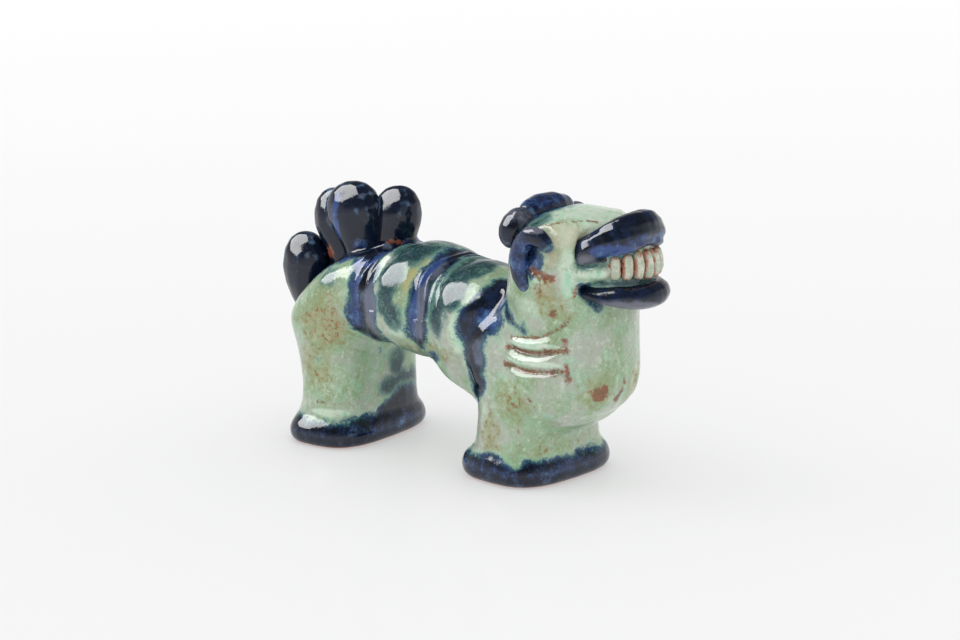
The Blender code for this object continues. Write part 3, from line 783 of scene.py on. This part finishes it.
class Recipe:
    """Short names for the nodes of one material."""

    def __init__(self, name):
        self.material = bpy.data.materials.new(name)
        self.material.use_nodes = True
        self.tree = self.material.node_tree
        self.shader = self.tree.nodes["Principled BSDF"]
        self.place = self.tree.nodes.new("ShaderNodeTexCoord").outputs["Object"]

    def put(self, socket, value):
        if isinstance(value, bpy.types.NodeSocket):
            self.tree.links.new(value, socket)
        else:
            socket.default_value = value

    def mark(self, name):
        node = self.tree.nodes.new("ShaderNodeAttribute")
        node.attribute_name = name
        return node.outputs["Fac"]

    def noise(self, size, detail=2.0, rough=0.5, stretch=(1, 1, 1), shift=0.0, distortion=0.0):
        """Noise from about 0 to 1 with features of that size in mm."""
        mapping = self.tree.nodes.new("ShaderNodeMapping")
        mapping.inputs["Location"].default_value = (shift, shift * 0.7, shift * 1.3)
        mapping.inputs["Scale"].default_value = tuple(1 / (size * MM * s) for s in stretch)
        self.put(mapping.inputs["Vector"], self.place)
        node = self.tree.nodes.new("ShaderNodeTexNoise")
        node.inputs["Scale"].default_value = 1.0
        node.inputs["Detail"].default_value = detail
        node.inputs["Roughness"].default_value = rough
        node.inputs["Distortion"].default_value = distortion
        self.put(node.inputs["Vector"], mapping.outputs["Vector"])
        return node.outputs["Fac"]

    def math(self, operation, a, b=0.0, c=0.0):
        node = self.tree.nodes.new("ShaderNodeMath")
        node.operation = operation
        for socket, value in zip(node.inputs, (a, b, c)):
            self.put(socket, value)
        return node.outputs[0]

    def rise(self, value, low, high, to_low=0.0, to_high=1.0):
        """Smooth step of a value from low to high."""
        node = self.tree.nodes.new("ShaderNodeMapRange")
        node.interpolation_type = "SMOOTHSTEP"
        self.put(node.inputs["Value"], value)
        names = ("From Min", "From Max", "To Min", "To Max")
        for name, number in zip(names, (low, high, to_low, to_high)):
            self.put(node.inputs[name], number)
        return node.outputs["Result"]

    def mix(self, share, a, b):
        node = self.tree.nodes.new("ShaderNodeMix")
        node.data_type = "RGBA"
        for socket, value in ((node.inputs[0], share), (node.inputs[6], a), (node.inputs[7], b)):
            self.put(socket, value if not isinstance(value, tuple) else (*value, 1.0))
        return node.outputs[2]

    def over(self, below, tone, value, low, high, share=1.0):
        """A tone laid over what is below it, thicker as the value goes from low to high."""
        return self.mix(self.rise(value, low, high, 0.0, share), below, tone)

    def centred(self, value):
        return self.math("SUBTRACT", value, 0.5)

    def sum(self, *terms):
        """Weighted sum of (value, weight) pairs."""
        total = 0.0
        for value, weight in terms:
            total = self.math("MULTIPLY_ADD", value, weight, total)
        return total


MINT = (0.32, 0.46, 0.28)
MINT_PALE = (0.63, 0.74, 0.60)
MINT_AQUA = (0.36, 0.68, 0.48)
GREY_GREEN = (0.44, 0.47, 0.40)
SAGE = (0.26, 0.35, 0.19)
OLIVE = (0.29, 0.29, 0.11)
CREAM = (0.64, 0.63, 0.47)
BROWN = (0.19, 0.075, 0.035)
RUST = (0.32, 0.09, 0.04)
OCHRE = (0.50, 0.43, 0.18)
TEAL = (0.014, 0.045, 0.055)
TEAL_GREEN = (0.06, 0.17, 0.17)
COBALT = (0.008, 0.022, 0.070)
BLUE = (0.022, 0.065, 0.19)
NIGHT = (0.003, 0.006, 0.013)
INK = (0.003, 0.008, 0.028)
LILAC = (0.15, 0.18, 0.26)
ROYAL = (0.032, 0.075, 0.25)
SKY = (0.13, 0.26, 0.45)
GREY_LILAC = (0.16, 0.165, 0.21)
# darker green that stands in for shade in the recesses, partly the glaze's own colour
DARKER_GREEN_AND_SHADE = (0.13, 0.20, 0.13)
CLAY = (0.30, 0.10, 0.05)
TOOTH_GREEN = (0.44, 0.50, 0.38)
TOOTH_PALE = (0.66, 0.68, 0.56)
TOOTH_EDGE = (0.42, 0.16, 0.10)
TOOTH_GAP = (0.10, 0.035, 0.025)
BARE_TO = 0.0005  # m above the table up to which the clay is unglazed
GLAZED_FROM = 0.0011
GLAZE_IOR = 1.52
DIMPLE_DEPTH = 0.00012  # m


def make_glaze(name):
    r = Recipe(name)
    broad = r.centred(r.noise(16.0, 2.0))
    patch = r.centred(r.noise(5.0, 3.0, 0.6, shift=7.0))
    fine = r.centred(r.noise(1.3, 3.0, 0.65, shift=3.0))
    speck = r.centred(r.noise(0.75, 2.0, 0.6, shift=11.0))
    run = r.centred(r.noise(4.0, 3.0, 0.6, stretch=(1, 1, 2.6), shift=5.0))
    blotch = r.centred(r.noise(3.2, 4.0, 0.7, shift=19.0, distortion=0.6))
    streaks = r.centred(r.noise(1.6, 3.0, 0.6, stretch=(1, 1, 4.0), shift=13.0))
    wear = r.mark("wear")

    colour = r.over(MINT, GREY_GREEN, r.sum((broad, 1), (fine, 0.4)), -0.10, 0.12)
    colour = r.over(colour, SAGE, r.sum((blotch, 1), (broad, -1.2)), 0.02, 0.26, 0.8)
    colour = r.over(colour, MINT_AQUA, r.sum((patch, 1), (speck, 0.3)), 0.0, 0.3, 0.7)
    colour = r.over(colour, MINT_PALE, r.sum((run, 1), (fine, 0.5)), 0.0, 0.35, 0.6)
    # lighter glaze patches, some of them painted highlights on the cheek edge, the gill rolls and the top of
    # the rear foot
    pale_glaze_and_highlight = r.sum((r.mark("light"), 1), (patch, 0.8), (fine, 0.3))
    colour = r.over(colour, r.over(MINT_PALE, MINT_AQUA, run, -0.12, 0.28), pale_glaze_and_highlight, 0.2, 0.9)
    mottle = r.centred(r.noise(2.2, 4.0, 0.7, shift=29.0, distortion=0.4))
    colour = r.over(colour, SAGE, r.sum((mottle, 1), (patch, 0.5)), 0.04, 0.24, 0.55)
    colour = r.over(colour, MINT_PALE, r.sum((mottle, 1), (patch, 0.5)), -0.04, -0.24, 0.6)
    stain = r.sum((r.mark("stain"), 1), (blotch, 1.6), (fine, 0.9), (mottle, 0.8))
    colour = r.over(colour, OLIVE, stain, 0.05, 1.0, 0.9)
    colour = r.over(colour, CREAM, r.sum((r.mark("stain"), 1), (patch, -1.8), (fine, 0.8)), 0.6, 1.0, 0.2)
    speckle = r.sum((r.mark("stain"), 0.8), (fine, 1.2), (blotch, 3.4), (mottle, 2.4))
    colour = r.over(colour, r.over(BROWN, RUST, patch, -0.1, 0.15), speckle, 0.75, 1.3, 0.85)
    cream = r.sum((r.mark("cream"), 1), (blotch, 1.0), (fine, 0.6))
    colour = r.over(colour, CREAM, cream, 0.3, 1.0, 0.7)
    colour = r.over(colour, OCHRE, r.sum((r.mark("ochre"), 1), (fine, 0.8)), 0.25, 0.9, 0.9)
    # painted shade in the recesses, laid on as a darker green
    colour = r.over(colour, DARKER_GREEN_AND_SHADE, r.sum((r.mark("dusk"), 1), (patch, 0.8)), 0.1, 1.0, 0.75)
    grit = r.sum((speck, 1), (fine, 0.5))
    colour = r.over(colour, BROWN, grit, 0.20, 0.36, 0.35)
    colour = r.over(colour, MINT_PALE, grit, -0.20, -0.36, 0.5)

    ragged = r.sum((patch, 5.0), (fine, 4.5), (run, 4.0), (speck, 2.5))
    teal = r.sum((r.mark("teal"), 1), (ragged, 0.8))
    thin = r.over(colour, TEAL_GREEN, teal, -2.6, 0.6, 0.85)
    pool = r.over(TEAL, TEAL_GREEN, r.sum((speck, 1), (fine, 0.8), (patch, 0.5)), -0.05, 0.28)
    pool = r.over(pool, COBALT, r.sum((fine, 1), (run, 0.8)), 0.05, 0.35)
    colour = r.over(thin, pool, teal, -0.8, 1.8, 0.95)

    blue = r.sum((r.mark("blue"), 1), (ragged, 0.6))
    deep = r.over(NIGHT, COBALT, r.sum((patch, 1), (fine, 0.4)), -0.10, 0.16)
    deep = r.over(deep, BLUE, r.sum((run, 1), (fine, 0.6)), 0.08, 0.34, 0.75)
    pooled = r.sum((r.mark("blue"), 1), (patch, 4.0))
    deep = r.over(deep, r.over(INK, NIGHT, patch, -0.1, 0.1), pooled, 5.0, 7.5, 0.75)
    worn = r.sum((wear, 0.5), (fine, 0.5), (patch, 1.4))
    deep = r.over(deep, r.over(SKY, LILAC, run, -0.1, 0.12), worn, 0.4, 1.1, 0.7)
    lilac = r.sum((r.mark("lilac"), 1), (patch, 1.0), (fine, 0.4))
    lilac_tone = r.over(LILAC, GREY_LILAC, r.sum((streaks, 1), (fine, 0.4)), -0.05, 0.2)
    deep = r.over(deep, lilac_tone, lilac, 0.15, 0.9, 0.9)
    grey = r.sum((r.mark("grey"), 1), (patch, 0.8), (fine, 0.3))
    deep = r.over(deep, GREY_LILAC, grey, 0.2, 0.8, 0.9)
    sky = r.sum((r.mark("sky"), 1), (patch, 0.8), (fine, 0.6))
    sky_tone = r.over(ROYAL, SKY, r.sum((streaks, 0.5), (patch, 0.9), (fine, 0.3)), 0.0, 0.3)
    deep = r.over(deep, sky_tone, sky, 0.2, 0.8, 0.9)
    shallow = r.over(TEAL_GREEN, BLUE, r.sum((fine, 1), (patch, 0.7)), -0.15, 0.2)
    halo = r.over(colour, MINT_AQUA, blue, -3.4, -0.6, 0.3)
    colour = r.over(halo, shallow, blue, -1.5, 0.5)
    colour = r.over(colour, deep, blue, -0.2, 2.0)

    rust = r.sum((r.mark("rust"), 1), (fine, 3.6), (blotch, 4.4))
    tone = r.over(RUST, BROWN, r.sum((speck, 1), (patch, 1)), -0.2, 0.15)
    colour = r.over(colour, tone, rust, -0.9, 0.5, 0.92)

    split = r.tree.nodes.new("ShaderNodeSeparateXYZ")
    r.put(split.inputs[0], r.place)
    height = r.sum((split.outputs["Z"], 1), (patch, 0.0016))
    bare = r.rise(height, GLAZED_FROM, BARE_TO)
    colour = r.mix(bare, colour, CLAY)

    r.put(r.shader.inputs["Base Color"], colour)
    rough = r.sum((r.rise(fine, -0.25, 0.3, 0.07, 0.17), 1), (bare, 0.6))
    r.put(r.shader.inputs["Roughness"], rough)
    r.shader.inputs["IOR"].default_value = GLAZE_IOR
    dimple = r.tree.nodes.new("ShaderNodeBump")
    dimple.inputs["Strength"].default_value = 0.4
    dimple.inputs["Distance"].default_value = DIMPLE_DEPTH
    r.put(dimple.inputs["Height"], r.sum((r.noise(2.4, 2.0, 0.5, shift=23.0), 1), (fine, 0.25)))
    r.put(r.shader.inputs["Normal"], dimple.outputs["Normal"])
    return r.material


glaze = make_glaze("mint_and_cobalt_glaze")


def make_tooth_glaze():
    r = Recipe("tooth_glaze")
    fine = r.centred(r.noise(1.2, 3.0, 0.6, shift=2.0))
    patch = r.centred(r.noise(3.0, 2.0, 0.6, shift=4.0))
    colour = r.over(TOOTH_GREEN, TOOTH_PALE, r.sum((fine, 1), (patch, 1)), -0.15, 0.2)
    gap = r.sum((r.mark("gap"), 1), (fine, 0.9), (patch, 0.9))
    colour = r.over(colour, TOOTH_EDGE, gap, 0.62, 0.95, 0.9)
    colour = r.over(colour, TOOTH_GAP, gap, 0.95, 1.2, 0.9)
    r.put(r.shader.inputs["Base Color"], colour)
    r.put(r.shader.inputs["Roughness"], r.rise(fine, -0.25, 0.3, 0.08, 0.18))
    return r.material


# ---------------------------------------------------------------- floor, light and camera

FLOOR_HALF = 6.0  # m
FLOOR_DROP = 0.00005  # m, so that the floor and the undersides of the feet aren't in one plane
FLOOR_WHITE = (0.58, 0.58, 0.585, 1)
FLOOR_GLOW = 0.36
FLOOR_ROUGHNESS = 0.16
FLOOR_IOR = 1.06
WHITE = (1, 1, 1, 1)
ROOM_LIGHT = 0.94
HORIZON = (0.05, 0.80)  # reflections show a bright backdrop: (height of the direction, brightness)
CEILING = (0.55, 0.12)  # and a dark ceiling above it
KEY_DIRECTION = (-0.31, 0.59, 0.715)
KEY_DISTANCE = 3.0  # m
KEY_SIZE = (1.9, 2.4)  # m
KEY_GLOSS = 9.0  # radiance in reflections
KEY_LIGHT = 1.1  # radiance that lights the matt share of surfaces
LENS = 80.0  # mm
SENSOR_WIDTH = 36.0  # mm
CAMERA_AZIMUTH = -52.29  # degrees from the front of the animal
CAMERA_ELEVATION = 12.77  # degrees
CAMERA_DISTANCE = 0.8734  # m
CAMERA_TARGET = (0.02314, WORK_Y * MM, 0.04924)


def make_floor():
    corners = [(x * FLOOR_HALF, y * FLOOR_HALF, 0) for x, y in ((-1, -1), (1, -1), (1, 1), (-1, 1))]
    mesh = bpy.data.meshes.new("floor")
    mesh.from_pydata(corners, [], [(0, 1, 2, 3)])
    floor = bpy.data.objects.new("floor", mesh)
    floor.location.z = -FLOOR_DROP
    bpy.context.scene.collection.objects.link(floor)
    material = bpy.data.materials.new("white_table")
    material.use_nodes = True
    shader = material.node_tree.nodes["Principled BSDF"]
    shader.inputs["Base Color"].default_value = FLOOR_WHITE
    shader.inputs["Emission Color"].default_value = WHITE
    shader.inputs["Emission Strength"].default_value = FLOOR_GLOW
    shader.inputs["Roughness"].default_value = FLOOR_ROUGHNESS
    shader.inputs["IOR"].default_value = FLOOR_IOR
    floor.data.materials.append(material)


def make_world():
    world = bpy.data.worlds.new("studio")
    world.use_nodes = True
    tree = world.node_tree
    background = tree.nodes["Background"]
    background.inputs["Color"].default_value = WHITE
    rays = tree.nodes.new("ShaderNodeLightPath")
    strength = tree.nodes.new("ShaderNodeMix")
    tree.links.new(rays.outputs["Is Glossy Ray"], strength.inputs["Factor"])
    strength.inputs["A"].default_value = ROOM_LIGHT
    up = tree.nodes.new("ShaderNodeSeparateXYZ")
    tree.links.new(tree.nodes.new("ShaderNodeTexCoord").outputs["Generated"], up.inputs[0])
    ceiling = tree.nodes.new("ShaderNodeMapRange")
    ceiling.interpolation_type = "SMOOTHSTEP"
    tree.links.new(up.outputs["Z"], ceiling.inputs["Value"])
    for name, (height, brightness) in (("Min", HORIZON), ("Max", CEILING)):
        ceiling.inputs["From " + name].default_value = height
        ceiling.inputs["To " + name].default_value = brightness
    tree.links.new(ceiling.outputs["Result"], strength.inputs["B"])
    tree.links.new(strength.outputs["Result"], background.inputs["Strength"])
    bpy.context.scene.world = world


def softbox(name, radiance, reflected):
    """The rectangular key lamp, seen only in reflections or lighting only the matt share of surfaces."""
    data = bpy.data.lights.new(name, "AREA")
    data.shape = "RECTANGLE"
    data.size, data.size_y = KEY_SIZE
    data.energy = radiance * math.pi * KEY_SIZE[0] * KEY_SIZE[1]
    lamp = bpy.data.objects.new(name, data)
    lamp.visible_diffuse = not reflected
    lamp.visible_glossy = reflected
    direction = Vector(KEY_DIRECTION).normalized()
    lamp.location = (cad_low + cad_high) / 2 + direction * KEY_DISTANCE
    lamp.rotation_euler = direction.to_track_quat("Z", "Y").to_euler()
    bpy.context.scene.collection.objects.link(lamp)


def make_camera():
    data = bpy.data.cameras.new("camera")
    data.lens = LENS
    data.sensor_width = SENSOR_WIDTH
    camera = bpy.data.objects.new("camera", data)
    azimuth, elevation = math.radians(CAMERA_AZIMUTH), math.radians(CAMERA_ELEVATION)
    level = math.cos(elevation)
    back = Vector((math.sin(azimuth) * level, -math.cos(azimuth) * level, math.sin(elevation)))
    camera.location = Vector(CAMERA_TARGET) + back * CAMERA_DISTANCE
    camera.rotation_euler = back.to_track_quat("Z", "Y").to_euler()
    bpy.context.scene.collection.objects.link(camera)
    bpy.context.scene.camera = camera


def make_stage():
    make_floor()
    make_world()
    softbox("softbox_gloss", KEY_GLOSS, True)
    softbox("softbox_light", KEY_LIGHT, False)
    view = bpy.context.scene.view_settings
    view.view_transform = "Standard"
    view.look = "None"
    view.exposure = 0.0
    make_camera()


make_body()
for node in ADDED:
    make_piece(node)
tooth_glaze = make_tooth_glaze()
for k in range(1, TEETH + 1):
    make_tooth(f"tooth_{k}")
make_stage()
